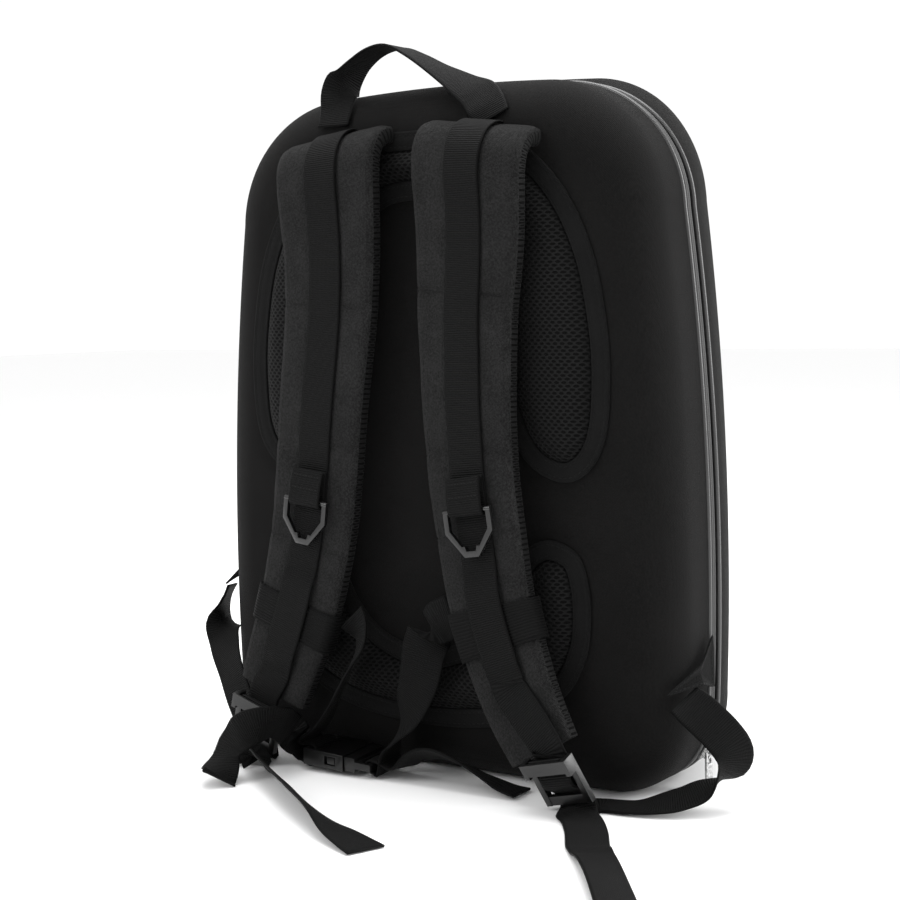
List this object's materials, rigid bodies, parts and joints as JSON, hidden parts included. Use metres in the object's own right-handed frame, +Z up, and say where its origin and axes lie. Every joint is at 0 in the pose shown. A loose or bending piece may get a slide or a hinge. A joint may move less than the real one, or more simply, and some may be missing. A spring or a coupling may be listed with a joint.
{
  "type": "hard shell backpack",
  "caption": "Upright backpack with two moulded hollow shells joined by a zip, air mesh back pads, padded shoulder straps with chest strap and buckle, and a grab handle.",
  "frame": {"origin": "middle of the zip on the flat bottom that the pack stands on", "axes": "+Z up, -Y towards the wearer's back and the shoulder straps, +X to the right as seen from the strap side"},
  "size_m": [0.428, 0.3427, 0.4665],
  "materials": {
    "shell_fabric": "fine woven cover over moulded foam, matte, dark charcoal",
    "strap_fabric": "fine woven, matte, dark grey",
    "mesh": "air mesh with small open holes, black",
    "webbing": "ribbed webbing, black",
    "zip_tape": "woven zip tape and piping, light grey",
    "plastic": "moulded, satin, black to dark grey",
    "metal": "plated, satin"
  },
  "bodies": {
    "pack": {"back_shell": "shell_fabric", "front_shell": "shell_fabric", "zip_band": "zip_tape", "back_piping": "zip_tape", "front_piping": "zip_tape", "upper_pad_border": "strap_fabric", "upper_pad_mesh": "mesh", "lower_pad_border": "strap_fabric", "lower_pad_mesh": "mesh", "grab_handle": "webbing", "strap_right": "strap_fabric", "chest_band_right": "webbing", "strap_webbing_right": "webbing", "ring_loop_right": "webbing", "ladder_lock_right": "plastic", "lower_strap_right": "webbing", "side_ear_right": "strap_fabric", "chest_strap_right": "webbing", "strap_left": "strap_fabric", "chest_band_left": "webbing", "strap_webbing_left": "webbing", "ring_loop_left": "webbing", "ladder_lock_left": "plastic", "lower_strap_left": "webbing", "side_ear_left": "strap_fabric", "chest_strap_left": "webbing", "buckle_female": "plastic", "buckle_male": "plastic", "zip_slider": "metal"},
    "ring_right": {"ring_right": "plastic"},
    "ring_left": {"ring_left": "plastic"},
    "zip_pull": {"zip_pull": "metal"}
  },
  "joints": [
    {"name": "ring_right_swing", "type": "hinge", "parent": "pack", "child": "ring_right", "pos_m": [0.0564, -0.09485, 0.17787], "axis": [-0.9892, -0.0002, -0.1468], "range_deg": [0, 120]},
    {"name": "ring_left_swing", "type": "hinge", "parent": "pack", "child": "ring_left", "pos_m": [-0.06679, -0.09485, 0.17787], "axis": [-0.9928, -0.0003, 0.1198], "range_deg": [0, 120]},
    {"name": "zip_pull_swing", "type": "hinge", "parent": "pack", "child": "zip_pull", "pos_m": [0.16922, 0, 0.02335], "axis": [0, -1, 0], "range_deg": [-30, 120]}
  ]
}
